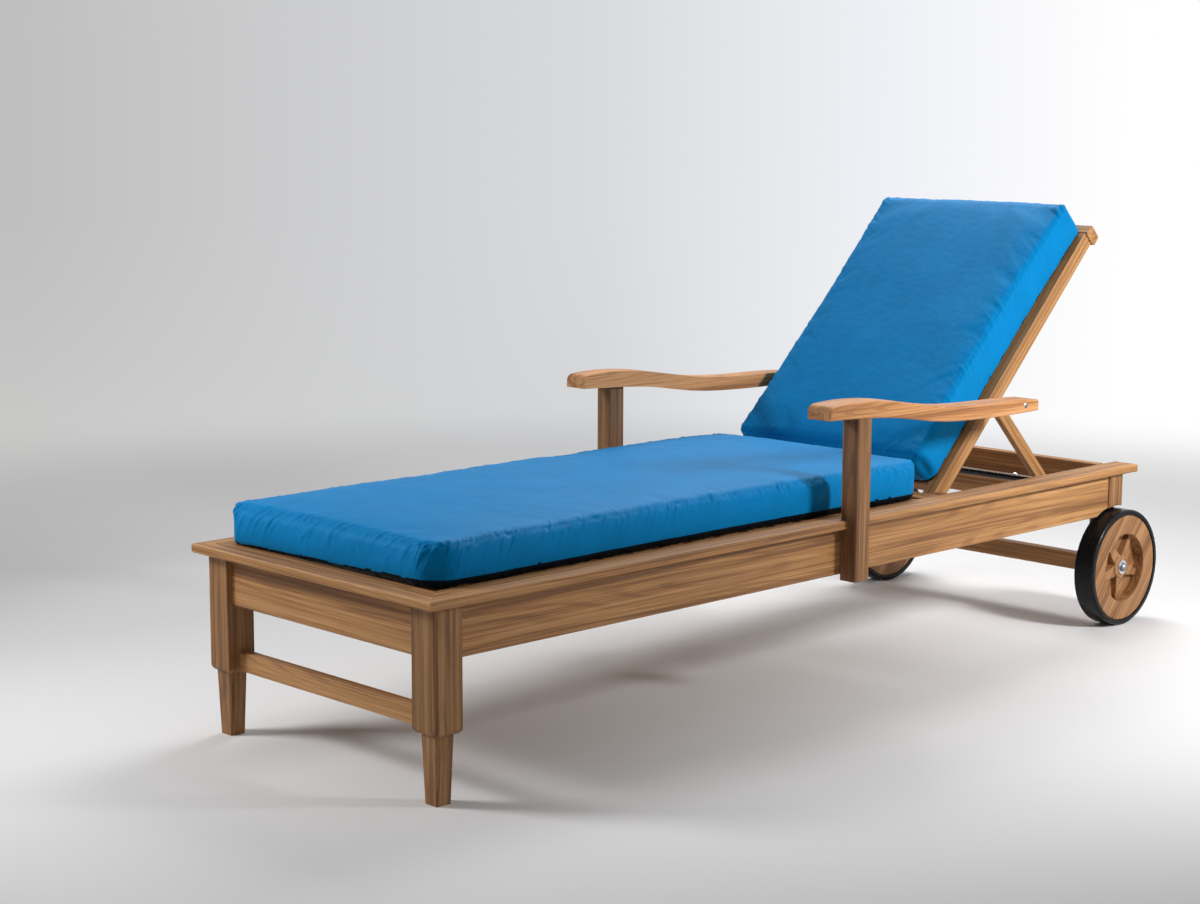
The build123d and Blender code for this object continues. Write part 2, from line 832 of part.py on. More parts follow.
def wheel_disc():
    """The wooden wheel: a flat rim, a closed recess and a five-armed star."""
    web = disc_width - disc_recess_depth
    disc = Pos(0, 0, disc_width / 2) * Cylinder(disc_radius - round_fit_gap, disc_width)
    disc = chamfer(disc.edges(), disc_edge_ease)
    recess_depth = 2 * disc_recess_depth
    disc = disc - Pos(0, 0, disc_width) * Cylinder(disc_recess_radius, recess_depth)
    hub_height = disc_recess_depth - hub_drop
    hub = Pos(0, 0, web + hub_height / 2) * Cylinder(hub_radius, hub_height)
    disc = disc + chamfer(hub.edges().sort_by(Axis.Z)[-1], disc_edge_ease)
    for index in range(spoke_count):
        disc = disc + Rot(0, 0, spoke_turn + index * 360 / spoke_count) * spoke()
    bore = Pos(0, 0, disc_width / 2) * Cylinder(bush_radius + round_fit_gap, disc_width + cut_overrun)
    return wheel_frame(disc - bore)


def tyre():
    """The rubber tyre, square across the tread with rounded shoulders."""
    with BuildPart() as ring:
        with BuildSketch(Plane.XZ):
            with Locations(((disc_radius + wheel_radius) / 2, disc_width / 2)):
                Rectangle(wheel_radius - disc_radius, tyre_width)
        revolve(axis=Axis.Z)
        rims = ring.edges().filter_by(GeomType.CIRCLE).sort_by(SortBy.RADIUS)[-2:]
        fillet(rims, tyre_shoulder)
    return wheel_frame(ring.part)


def hub_bush():
    """The plain bearing pressed into the hub."""
    length = disc_width - hub_drop
    middle = Pos(0, 0, length / 2)
    sleeve = middle * Cylinder(bush_radius, length)
    return wheel_frame(sleeve - middle * Cylinder(axle_radius + round_fit_gap, 2 * length))


hub_face = disc_in + disc_width - hub_drop
hub_washer_out = hub_face + side_play + hub_washer_thickness


def axle():
    """The steel axle through both legs and both wheels."""
    reach = hub_washer_out + hub_nut_height / 2
    return rod_along_y(axle_x, axle_z, axle_radius, -reach, reach)


def axle_washers():
    """The washers between leg and wheel and under the hub nuts, left side."""
    leg_side = rod_along_y(
        axle_x,
        axle_z,
        wheel_washer_radius,
        -wheel_leg_out - wheel_washer_thickness,
        -wheel_leg_out,
    )
    nut_side = rod_along_y(
        axle_x, axle_z, wheel_washer_radius, -hub_washer_out, -hub_face - side_play
    )
    bore = rod_along_y(
        axle_x, axle_z, axle_radius + round_fit_gap, -hub_washer_out - cut_overrun, -rear_leg_in
    )
    return [leg_side - bore, nut_side - bore]


def hub_nut():
    """The domed nut on the axle's end, in the middle of the star."""
    nut = domed_head(axle_x, -hub_washer_out, axle_z, hub_nut_radius, hub_nut_height, -1)
    reach = hub_washer_out + hub_nut_height / 2 + round_fit_gap
    return nut - rod_along_y(axle_x, axle_z, axle_radius + round_fit_gap, -reach, -wheel_leg_out)


# Cushions
def cushion_section(station, half, low, side_top, crown, bulge):
    """A cushion cut across: a base flat where it rests, bulged sides and a crowned top."""
    rest = half - cushion_base_inset
    seam = low + cushion_base_rise
    turn = (rest + cushion_base_inset / 2, low + cushion_base_rise / 4)
    middle = (seam + side_top) / 2
    with BuildSketch(Plane.YZ.offset(station)) as cut:
        with BuildLine():
            Line((-rest, low), (rest, low))
            ThreePointArc((rest, low), turn, (half, seam))
            ThreePointArc((half, seam), (half + bulge, middle), (half, side_top))
            ThreePointArc((half, side_top), (0, side_top + crown), (-half, side_top))
            ThreePointArc((-half, side_top), (-half - bulge, middle), (-half, seam))
            ThreePointArc((-half, seam), (-turn[0], turn[1]), (-rest, low))
        make_face()
    return cut.sketch


def cushion(start, end, half, height, crown):
    """A box cushion with a crown, bulged boxing and sides drawn in between its corners."""
    length = end - start
    body_half = half - cushion_side_bulge
    side = height - crown
    # Each cut: its station, how much narrower, how much lower at each face, share of the crown
    cuts = []
    for place, inset, crown_share in zip(
        cushion_nose_place_shares, cushion_nose_inset_shares, cushion_nose_crown_shares
    ):
        trim = cushion_end_inset * inset
        cuts.append((cushion_nose * place, trim, trim, crown_share))
    drawn = cushion_side_draw * cushion_shoulder_draw_share
    cuts.append((cushion_shoulder, drawn, 0, cushion_shoulder_crown_share))
    far_cuts = [(length - station, *rest) for station, *rest in reversed(cuts)]
    cuts = cuts + [(length / 2, cushion_side_draw, 0, 1)] + far_cuts
    sections = []
    for station, narrow, trim, crown_share in cuts:
        sections.append(
            cushion_section(
                start + station,
                body_half - narrow,
                trim,
                side - trim,
                crown * crown_share,
                cushion_side_bulge,
            )
        )
    return loft(sections, ruled=True)


def seat_cushion():
    """The long seat cushion: it lies on the slats, and its edges swell over the caps."""
    pad = cushion(
        foot_x + cap_board_width - seat_cushion_foot_lap,
        pivot_x - seat_cushion_pivot_gap,
        cap_in + seat_cushion_side_lap,
        seat_cushion_height,
        seat_cushion_crown,
    )
    return Pos(0, seat_cushion_shift, deck_top + cushion_lift) * pad


def back_cushion():
    """The loose back cushion, lying on the back frame a little to the sitter's right."""
    pad = cushion(
        back_cushion_start,
        back_cushion_end,
        back_cushion_half_width,
        back_cushion_height,
        back_cushion_crown,
    )
    return raise_back(Pos(0, back_cushion_shift, back_front + cushion_lift) * pad)


def pair(name, solid):
    """The left piece and its mirror image on the right."""
    return {name + "_left": solid, name + "_right": other_side(solid)}


def both(solids):
    """A group of separate left pieces with their right twins, for one node."""
    twins = [other_side(solid) for solid in solids]
    return Compound(children=list(solids) + twins)


def all_nodes():
    """Every piece of the lounger by name."""
    rail = drill_for_post_bolts(side_rail(), -rail_out - cut_overrun, -rail_in + cut_overrun)
    post = drill_for_post_bolts(arm_post(), -rail_out - post_bolt_grip, -rail_in)
    bolt_x, bolt_z = arm_bolt_place()
    hole_in = -arm_out + arm_width + cut_overrun
    arm_hole = rod_along_y(
        bolt_x, bolt_z, post_bolt_radius + bolt_play, -arm_out - cut_overrun, hole_in
    )
    nodes = {}
    nodes.update(pair("front_leg", front_leg()))
    nodes.update(pair("rear_leg", rear_leg()))
    nodes.update(pair("side_rail", rail))
    nodes["foot_rail"] = cross_member(
        foot_rail_x, foot_rail_x + rail_thickness, foot_rail_seat, cap_bottom
    )
    nodes["head_rail"] = cross_member(head_rail_x, head_rail_back_x, head_rail_seat, cap_top)
    nodes["foot_stretcher"] = cross_member(
        foot_stretcher_x,
        foot_stretcher_x + foot_stretcher_thickness,
        foot_stretcher_seat,
        foot_stretcher_z + foot_stretcher_height,
    )
    nodes["head_stretcher"] = head_stretcher()
    nodes.update(pair("side_cap", side_cap()))
    nodes["foot_cap"] = foot_cap()
    nodes.update(pair("slat_bearer", slat_bearer()))
    nodes["seat_slats"] = seat_slats()
    for label, share in zip(("front", "rear"), cross_rail_shares):
        nodes["seat_cross_rail_" + label] = seat_cross_rail(share)
    nodes.update(pair("notched_rack", notched_rack()))
    nodes["back_rest_rail"] = back_rest_rail()
    nodes["rest_rail_bolts"] = both([rest_rail_bolt()])
    nodes.update(pair("pivot_block", pivot_block()))
    nodes["pivot_bolts"] = both([pivot_bolt()])
    nodes["pivot_washers"] = both([pivot_washer()])
    nodes.update(pair("arm_post", post))
    nodes.update(pair("arm", arm() - arm_hole))
    nodes["arm_cross_bolts"] = both([arm_bolt()])
    nodes["post_bolts"] = both(post_bolts())
    nodes.update(pair("back_stile", raise_back(stile())))
    nodes["back_top_rail"] = raise_back(back_top_rail())
    nodes["back_bottom_rail"] = raise_back(
        back_cross_board(bottom_rail_start, bottom_rail_width, bottom_rail_thickness)
    )
    for index in range(back_slat_count):
        name = "back_slat_" + str(index + 1)
        nodes[name] = raise_back(
            back_cross_board(back_slat_start(index), back_slat_width, back_slat_thickness)
        )
    nodes["stay_bolts"] = both([raise_back(stay_bolt())])
    nodes.update(pair("prop_stay", stay()))
    nodes["prop_rod"] = prop_rod()
    nodes.update(pair("wheel_disc", wheel_disc()))
    nodes.update(pair("tyre", tyre()))
    nodes.update(pair("hub_bush", hub_bush()))
    nodes["axle"] = axle()
    nodes["axle_washers"] = both(axle_washers())
    nodes["hub_nuts"] = both([hub_nut()])
    nodes["seat_cushion"] = seat_cushion()
    nodes["back_cushion"] = back_cushion()
    return nodes


os.makedirs("parts", exist_ok=True)
for node_name, node_solid in all_nodes().items():
    export_step(node_solid, os.path.join("parts", node_name + ".step"))
print("nodes written, lowest back angle", round(low_angle, 3), "prop arm", round(prop_arm, 3))
print("foot x", foot_x, "pivot", pivot_x, pivot_height, "rod x", round(rod_x, 3))
print("slats", slat_count, "back slats", back_slat_count)
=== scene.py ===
"""The looks of a wooden sun lounger with blue cushions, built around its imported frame. Metres."""

import math
import random

import bpy
from mathutils import Matrix, Vector, noise


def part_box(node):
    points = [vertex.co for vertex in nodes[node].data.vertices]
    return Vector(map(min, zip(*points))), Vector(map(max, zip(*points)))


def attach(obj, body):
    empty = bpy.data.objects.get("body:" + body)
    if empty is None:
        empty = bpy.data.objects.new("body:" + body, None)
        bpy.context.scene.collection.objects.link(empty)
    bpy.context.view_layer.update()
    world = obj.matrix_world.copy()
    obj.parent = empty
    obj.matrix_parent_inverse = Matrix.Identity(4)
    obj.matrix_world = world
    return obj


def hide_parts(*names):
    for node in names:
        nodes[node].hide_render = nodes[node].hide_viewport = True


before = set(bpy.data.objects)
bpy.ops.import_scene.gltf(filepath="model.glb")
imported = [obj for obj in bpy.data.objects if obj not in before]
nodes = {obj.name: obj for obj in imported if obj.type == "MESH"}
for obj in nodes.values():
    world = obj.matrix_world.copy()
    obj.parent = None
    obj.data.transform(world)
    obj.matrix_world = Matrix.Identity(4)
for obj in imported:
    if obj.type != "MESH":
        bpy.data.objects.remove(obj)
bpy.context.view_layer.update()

MM = 0.001
QUARTER_TURN = math.pi / 2

# The photograph's camera
YAW, PITCH, ROLL = math.radians(44.33), math.radians(8.78), math.radians(0.25)
CAMERA_PLACE = Vector((-3.1955, -2.914, 1.101))
FOCAL_PIXELS, PHOTO_WIDTH, SENSOR_WIDTH = 2217.9, 1200, 36.0

# Softboxes: place, the spot that it points at, width and height, spread in degrees, power
SOFTBOXES = {
    "key": ((0.8, -2.1, 1.38), (0.8, -0.4, 0.52), (0.35, 0.35), 104, 16),
    "overhead": ((1.5, 0.8, 2.5), (0.1, 0.0, 0.35), (1.5, 1.2), 180, 44),
    "foot_side": ((-2.2, 1.3, 1.5), (-1.0, 0.1, 0.33), (0.6, 0.6), 90, 8),
}

# The room's own light: how much comes from its bright side and from its dark side
ROOM_BRIGHT_SIDE = Vector((0.55, 0.35, 0.75))
ROOM_DARK, ROOM_BRIGHT = 0.08, 0.37

# Studio sweep: its painted light and shade, grey on the left to white on the right, above and at the
# foot of the rise
SWEEP_PAINTED_LIGHT_STOPS = [(0.08, "#BFBFBF"), (0.5, "#D9DADD"), (0.72, "#F0F1F6"), (0.88, "#FFFFFF")]
SWEEP_BASE_PAINTED_LIGHT_STOPS = [(0.08, "#C8C8C7"), (0.5, "#D5D6D8"), (0.7, "#F0F1F5"), (0.88, "#FFFFFF")]
# The greys spread by direction from this spot on the floor, below the camera
SWEEP_FRONT = Vector((-3.2, -2.9, 0))
SWEEP_SPREAD = 0.3
# The floor turns into the sweep, which glows to the camera with its painted light and shade, between
# these distances from the lounger
SWEEP_STARTS, SWEEP_COMPLETE = 1.6, 4.2
SWEEP_RISEN = 0.2
FLOOR_REACH = 60.0
FLOOR_COLOUR = "#E8E8E9"

# Boards by the way their grain runs: along the bed, across it, upright, up the back, down the prop
GRAIN_ALONG_BED = (
    "side_rail_left",
    "side_rail_right",
    "side_cap_left",
    "side_cap_right",
    "slat_bearer_left",
    "slat_bearer_right",
    "notched_rack_left",
    "notched_rack_right",
    "pivot_block_left",
    "pivot_block_right",
)
GRAIN_ACROSS = (
    "foot_rail",
    "head_rail",
    "foot_stretcher",
    "head_stretcher",
    "foot_cap",
    "seat_slats",
    "seat_cross_rail_front",
    "seat_cross_rail_rear",
    "back_rest_rail",
    "back_top_rail",
    "back_bottom_rail",
)
GRAIN_UPRIGHT = (
    "front_leg_left",
    "front_leg_right",
    "rear_leg_left",
    "rear_leg_right",
    "arm_post_left",
    "arm_post_right",
)
GRAIN_UP_BACK = ("back_stile_left", "back_stile_right")
GRAIN_DOWN_PROP = ("prop_stay_left", "prop_stay_right")
ARMS = ("arm_left", "arm_right")
WHEEL_DISCS = ("wheel_disc_left", "wheel_disc_right")
TYRES = ("tyre_left", "tyre_right")
BUSHES = ("hub_bush_left", "hub_bush_right")
BRIGHT_FITTINGS = ("axle_washers", "stay_bolts", "pivot_washers", "rest_rail_bolts")
DULL_FITTINGS = ("pivot_bolts", "arm_cross_bolts", "post_bolts", "axle", "hub_nuts")

# Teak: colours, and each layer's grain length, grain width in millimetres and detail
TEAK_LIGHT, TEAK_MIDDLE, TEAK_DARK = "#BE8F5D", "#A67645", "#795130"
# The arms' teak is a lighter copy of the same wood: painted light
PAINTED_LIT_ARM_LIGHT, PAINTED_LIT_ARM_MIDDLE, PAINTED_LIT_ARM_DARK = "#D99E69", "#C48953", "#925E37"
# The legs' and posts' teak is a darker copy of the same wood: painted shade
PAINTED_SHADE_POST_LIGHT, PAINTED_SHADE_POST_MIDDLE, PAINTED_SHADE_POST_DARK = "#A67C50", "#8C623A", "#644228"
# The wheels' teak is a darker copy of the same wood: painted shade
PAINTED_SHADE_WHEEL_LIGHT, PAINTED_SHADE_WHEEL_MIDDLE, PAINTED_SHADE_WHEEL_DARK = "#AC8055", "#92653D", "#6A4629"
TEAK_LAYERS = {
    "figure": (1300, 75, 1.0),
    "bands": (1100, 17, 2.0),
    "streaks": (520, 5.5, 2.0),
    "fibres": (260, 2.4, 3.0),
    "pores": (45, 1.0, 1.0),
    "weather": (420, 90, 2.0),
}
GROWTH_LINES_PER_FIGURE = 17
GROWTH_LINE_EDGE = 0.1
# Growth lines are strong where the bands are dark, and weak where they are pale
BANDS_DARK, BANDS_PALE = 0.35, 0.65
LINES_STRONG, LINES_WEAK = 0.6, 0.1
# How much each layer counts in the wood's tone, and the tones of its dark, middle and light
TONE_SHARES = {"bands": 0.34, "streaks": 0.2, "fibres": 0.34, "weather": 0.12}
TONE_DARK, TONE_MIDDLE, TONE_LIGHT = 0.41, 0.49, 0.58
PORE_EDGE, PORE_MIDDLE, PORE_DEPTH = 0.6, 0.72, 0.45
GRAIN_BREAK_UP = 0.55
TEAK_SMOOTH, TEAK_ROUGH, TEAK_GLOSS = 0.5, 0.64, 0.38
TEAK_RELIEF, TEAK_RELIEF_STRENGTH = 0.25 * MM, 0.35
# Each board is cut from its own place in the tree
BOARD_SHIFT = (3.1, 0.9, 1.7)

# Canvas: threads are half a millimetre apart, drawn wider so that they show up close
THREADS_DRAWN = 1.8 * MM
WAVE_TEXTURE_RATE = 20
THREAD_WANDER = 0.6
THREAD_PALE, THREAD_DARK = 1.04, 0.95
MOTTLE_SIZE = 60 * MM
MOTTLE_SHADE, MOTTLE_COLOUR = 0.35, 0.65
CANVAS_RELIEF, CANVAS_RELIEF_STRENGTH = 0.2 * MM, 0.12
CANVAS_ROUGHNESS, CANVAS_GLOSS, CANVAS_GLOSS_TINT = 0.62, 0.2, "#5FC4FF"
NAP_ROUGHNESS, NAP_TINT = 0.13, "#C4F2FF"

# Tyre rubber: patches of bloom, and the mould's fine grain
BLOOM_SIZE, RUBBER_GRAIN = 30 * MM, 1.5 * MM
RUBBER_SMOOTH, RUBBER_ROUGH, RUBBER_GLOSS = 0.22, 0.34, 0.2
RUBBER_RELIEF, RUBBER_RELIEF_STRENGTH = 0.2 * MM, 0.08

# Steel: the size of the patches that handling leaves, and how far their roughness wanders
HANDLING_SIZE = 8 * MM
HANDLED_LEAST, HANDLED_MOST = 0.8, 1.3

# The back leans on its pivot at this angle, and its cushion lies this far in front of the pivot
BACK_ANGLE = math.radians(45)
PIVOT = Vector((0.3845, 0, 0.320))
BACK_FRONT = 17.4 * MM
# The wheels' boards run at this angle
WHEEL_GRAIN = math.radians(50)

# Cushions: the covers' quads, how uneven they are in millimetres, and how they are filled
COVER_STEP = 6 * MM
UNEVENNESS, UNEVENNESS_SEED = 0.3, 7
FILL_STEPS, FILL_CAP, FILL_PRESSURE = 20, 5 * MM, 4.0
CLOTH_WEIGHT, CLOTH_STRETCH, CLOTH_SHEAR, CLOTH_BEND = 0.3, 25, 10, 0.25

# Folds beside the seams: how they lean, crease and vary along the seam, and deepen at the corners
FOLD_LEAN, FOLD_STRETCH = 0.55, 5
CREASE_WIDTH, CREASE_DEPTH = 0.18, 0.8
TOP_FOLD_FADE = 1.3
BASE_FOLD_REACH, BASE_FOLD_SHARE, BASE_FOLD_PITCH = 26 * MM, 0.5, 0.7
FOLD_USUAL, FOLD_VARIES, FOLD_CORNER, CORNER_REACH = 0.9, 1.1, 1.2, 50 * MM
SEAM_WIDTH = 3 * MM
SLACK, SLACK_LENGTH = 1.6 * MM, 140 * MM

# Where the noise that shapes the folds is read: one layer for each kind of fold
TOP_LAYER, BASE_LAYER, ALONG_LAYER = 0.0, 9.0, 5.0

# The edge between canvas and the black band (black underside cloth, and painted shade above it) wavers
# this much, over this length
BAND_WAVERS, BAND_WAVE_LENGTH = 2 * MM, 25 * MM

# The caps' edges press into the seat cushion over this width, and clear it by this much
CAP_LIP, CAP_CLEARANCE = 8 * MM, 0.5 * MM

# The seat's cover: its form, how its seams draw up, its folds, and how high its black band reaches on
# the far and near side: the black underside cloth, carried higher on the near side as painted shade
SEAT_PAD = {
    "height": 79 * MM,
    "crown": 7 * MM,
    "near_corner": 52 * MM,
    "far_corner": 32 * MM,
    "top_edge": 20 * MM,
    "base_edges": (14 * MM, 14 * MM),
    "end_edge": 22 * MM,
    "slant": 7 * MM,
    "bulge": 5 * MM,
    "waist": 4 * MM,
    "gathers": 0.05,
    "puckers": 2.6 * MM,
    "pitch": 10 * MM,
    "reach_on_top": 34 * MM,
    "reach_on_side": 62 * MM,
    "seam_dent": 0.2 * MM,
    "black_and_shade_band": (8.5 * MM, 16 * MM),
}

# The back's cover, given in the same way
BACK_PAD = {
    "height": 88 * MM,
    "crown": 8 * MM,
    "near_corner": 26 * MM,
    "far_corner": 26 * MM,
    "top_edge": 10 * MM,
    "base_edges": (20 * MM, 7 * MM),
    "end_edge": 26 * MM,
    "slant": 0.0,
    "bulge": 5 * MM,
    "waist": 5 * MM,
    "gathers": 0.04,
    "puckers": 1.3 * MM,
    "pitch": 15 * MM,
    "reach_on_top": 48 * MM,
    "reach_on_side": 30 * MM,
    "seam_dent": 0.9 * MM,
    "black_and_shade_band": (8 * MM, 8 * MM),
}

# Where the covers lie: the seat's on the bed, and the back's up the back from its pivot
SEAT_START, SEAT_END = -983 * MM, 293 * MM
SEAT_LEFT, SEAT_RIGHT = -267 * MM, 287 * MM
BACK_START, BACK_END = 24 * MM, 742 * MM
BACK_LEFT, BACK_RIGHT = -215 * MM, 281 * MM


def linear(hex_colour):
    """An sRGB hex colour as Blender's linear RGBA."""
    channels = [int(hex_colour[i : i + 2], 16) / 255 for i in (1, 3, 5)]
    return [c / 12.92 if c <= 0.04045 else ((c + 0.055) / 1.055) ** 2.4 for c in channels] + [1.0]


def add(tree, kind, inputs=None, stops=None, **settings):
    """Add a shader node with its settings and a ramp's stops, and set or link its inputs."""
    made = tree.nodes.new(kind)
    for key, value in settings.items():
        setattr(made, key, value)
    for key, value in (inputs or {}).items():
        if isinstance(value, bpy.types.NodeSocket):
            tree.links.new(value, made.inputs[key])
        else:
            made.inputs[key].default_value = value
    for number, (place, colour) in enumerate(stops or []):
        elements = made.color_ramp.elements
        stop = elements[number] if number < len(elements) else elements.new(place)
        stop.position = place
        stop.color = linear(colour)
    return made


def new_material(name):
    """An empty node material with its shader and output."""
    material = bpy.data.materials.new(name)
    material.use_nodes = True
    tree = material.node_tree
    tree.nodes.clear()
    shader = tree.nodes.new("ShaderNodeBsdfPrincipled")
    add(tree, "ShaderNodeOutputMaterial", {"Surface": shader.outputs[0]})
    return material, tree, shader


def oiled_teak(name, turn=(0, 0, 0), light=TEAK_LIGHT, middle=TEAK_MIDDLE, dark=TEAK_DARK):
    """Planed, oiled teak: growth lines that flow along the board, fine fibres, short dark pores."""
    material, tree, shader = new_material(name)
    place = add(tree, "ShaderNodeTexCoord").outputs["Object"]
    aligned = add(tree, "ShaderNodeMapping", {"Vector": place, "Rotation": turn}).outputs[0]
    own = add(tree, "ShaderNodeObjectInfo").outputs["Random"]
    shift = add(tree, "ShaderNodeVectorMath", {0: BOARD_SHIFT, "Scale": own}, operation="SCALE")
    board = add(
        tree, "ShaderNodeVectorMath", {0: aligned, 1: shift.outputs[0]}, operation="ADD"
    ).outputs[0]
    grain = {}
    for layer, (along, across, detail) in TEAK_LAYERS.items():
        scale = (1 / (along * MM), 1 / (across * MM), 1 / (across * MM))
        drawn = add(tree, "ShaderNodeVectorMath", {0: board, 1: scale}, operation="MULTIPLY")
        grain[layer] = add(
            tree,
            "ShaderNodeTexNoise",
            {"Vector": drawn.outputs[0], "Scale": 1.0, "Detail": detail, "Roughness": GRAIN_BREAK_UP},
        ).outputs[0]

    # Growth lines lie where the figure crosses even levels, about 9 mm apart
    phase = add(
        tree,
        "ShaderNodeMath",
        {0: grain["figure"], 1: 2 * math.pi * GROWTH_LINES_PER_FIGURE},
        operation="MULTIPLY",
    )
    wave = add(tree, "ShaderNodeMath", {0: phase.outputs[0]}, operation="SINE")
    line = add(
        tree,
        "ShaderNodeMapRange",
        {0: wave.outputs[0], 1: GROWTH_LINE_EDGE, 2: 1.0},
        interpolation_type="SMOOTHSTEP",
    )
    strength = add(
        tree,
        "ShaderNodeMapRange",
        {0: grain["bands"], 1: BANDS_DARK, 2: BANDS_PALE, 3: LINES_STRONG, 4: LINES_WEAK},
    )
    line_share = add(
        tree, "ShaderNodeMath", {0: line.outputs[0], 1: strength.outputs[0]}, operation="MULTIPLY"
    )
    tone = 0.0
    for layer, share in TONE_SHARES.items():
        tone = add(
            tree, "ShaderNodeMath", {0: grain[layer], 1: share, 2: tone}, operation="MULTIPLY_ADD"
        ).outputs[0]
    wood = add(
        tree,
        "ShaderNodeValToRGB",
        {0: tone},
        stops=[(TONE_DARK, dark), (TONE_MIDDLE, middle), (TONE_LIGHT, light)],
    )
    lined = add(
        tree,
        "ShaderNodeMix",
        {0: line_share.outputs[0], 6: wood.outputs[0], 7: linear(dark)},
        data_type="RGBA",
    )
    pore_share = add(
        tree,
        "ShaderNodeMapRange",
        {0: grain["pores"], 1: PORE_EDGE, 2: PORE_MIDDLE, 3: 0.0, 4: PORE_DEPTH},
    )
    colour = add(
        tree,
        "ShaderNodeMix",
        {0: pore_share.outputs[0], 6: lined.outputs[2], 7: linear(dark)},
        data_type="RGBA",
    )
    tree.links.new(colour.outputs[2], shader.inputs["Base Color"])
    rough = add(tree, "ShaderNodeMapRange", {0: grain["fibres"], 3: TEAK_SMOOTH, 4: TEAK_ROUGH})
    tree.links.new(rough.outputs[0], shader.inputs["Roughness"])
    relief = add(
        tree, "ShaderNodeMath", {0: grain["fibres"], 1: grain["pores"]}, operation="SUBTRACT"
    )
    bump = add(
        tree,
        "ShaderNodeBump",
        {"Height": relief.outputs[0], "Strength": TEAK_RELIEF_STRENGTH, "Distance": TEAK_RELIEF},
    )
    tree.links.new(bump.outputs[0], shader.inputs["Normal"])
    shader.inputs["Specular IOR Level"].default_value = TEAK_GLOSS
    return material


def woven_canvas(name, colour, shade, nap):
    """Solution-dyed acrylic canvas: a close plain weave, paler where the light grazes its nap."""
    material, tree, shader = new_material(name)
    place = add(tree, "ShaderNodeTexCoord").outputs["Object"]
    thread_scale = 2 * math.pi / (WAVE_TEXTURE_RATE * THREADS_DRAWN)
    weave = 0.0
    for direction in ("X", "Y", "Z"):
        threads = add(
            tree,
            "ShaderNodeTexWave",
            {"Vector": place, "Scale": thread_scale, "Distortion": THREAD_WANDER, "Detail": 1.0},
            bands_direction=direction,
        )
        weave = add(
            tree, "ShaderNodeMath", {0: threads.outputs[1], 1: weave}, operation="ADD"
        ).outputs[0]
    mottle = add(tree, "ShaderNodeTexNoise", {"Vector": place, "Scale": 1 / MOTTLE_SIZE, "Detail": 4.0})
    tint = add(
        tree,
        "ShaderNodeValToRGB",
        {0: mottle.outputs[0]},
        stops=[(MOTTLE_SHADE, shade), (MOTTLE_COLOUR, colour)],
    )
    slub = add(tree, "ShaderNodeMapRange", {0: weave, 2: 3.0, 3: THREAD_DARK, 4: THREAD_PALE})
    cloth = add(
        tree, "ShaderNodeVectorMath", {0: tint.outputs[0], "Scale": slub.outputs[0]}, operation="SCALE"
    )
    tree.links.new(cloth.outputs[0], shader.inputs["Base Color"])
    bump = add(
        tree,
        "ShaderNodeBump",
        {"Height": weave, "Strength": CANVAS_RELIEF_STRENGTH, "Distance": CANVAS_RELIEF},
    )
    tree.links.new(bump.outputs[0], shader.inputs["Normal"])
    shader.inputs["Roughness"].default_value = CANVAS_ROUGHNESS
    shader.inputs["Specular IOR Level"].default_value = CANVAS_GLOSS
    shader.inputs["Specular Tint"].default_value = linear(CANVAS_GLOSS_TINT)
    shader.inputs["Sheen Weight"].default_value = nap
    shader.inputs["Sheen Roughness"].default_value = NAP_ROUGHNESS
    shader.inputs["Sheen Tint"].default_value = linear(NAP_TINT)
    return material


def moulded_rubber(name):
    """Black tyre rubber from a polished mould: glossy, with a faint bloom."""
    material, tree, shader = new_material(name)
    place = add(tree, "ShaderNodeTexCoord").outputs["Object"]
    bloom = add(tree, "ShaderNodeTexNoise", {"Vector": place, "Scale": 1 / BLOOM_SIZE, "Detail": 4.0})
    black = add(
        tree, "ShaderNodeValToRGB", {0: bloom.outputs[0]}, stops=[(0.35, "#0A0B0D"), (0.7, "#131518")]
    )
    tree.links.new(black.outputs[0], shader.inputs["Base Color"])
    rough = add(tree, "ShaderNodeMapRange", {0: bloom.outputs[0], 3: RUBBER_SMOOTH, 4: RUBBER_ROUGH})
    tree.links.new(rough.outputs[0], shader.inputs["Roughness"])
    shader.inputs["Specular IOR Level"].default_value = RUBBER_GLOSS
    grain = add(tree, "ShaderNodeTexNoise", {"Vector": place, "Scale": 1 / RUBBER_GRAIN, "Detail": 2.0})
    bump = add(
        tree,
        "ShaderNodeBump",
        {"Height": grain.outputs[0], "Strength": RUBBER_RELIEF_STRENGTH, "Distance": RUBBER_RELIEF},
    )
    tree.links.new(bump.outputs[0], shader.inputs["Normal"])
    return material


def rolled_steel(name, colour, roughness, metallic=1.0):
    """Rolled steel, or the bushes' nylon: one plain colour, whose gloss wanders where it was handled."""
    material, tree, shader = new_material(name)
    place = add(tree, "ShaderNodeTexCoord").outputs["Object"]
    handling = add(
        tree, "ShaderNodeTexNoise", {"Vector": place, "Scale": 1 / HANDLING_SIZE, "Detail": 3.0}
    )
    rough = add(
        tree,
        "ShaderNodeMapRange",
        {0: handling.outputs[0], 3: roughness * HANDLED_LEAST, 4: roughness * HANDLED_MOST},
    )
    tree.links.new(rough.outputs[0], shader.inputs["Roughness"])
    shader.inputs["Base Color"].default_value = linear(colour)
    shader.inputs["Metallic"].default_value = metallic
    return material


def give(names, material):
    """Finish CAD nodes in one material."""
    for name in names:
        mesh = nodes[name].data
        mesh.materials.clear()
        mesh.materials.append(material)


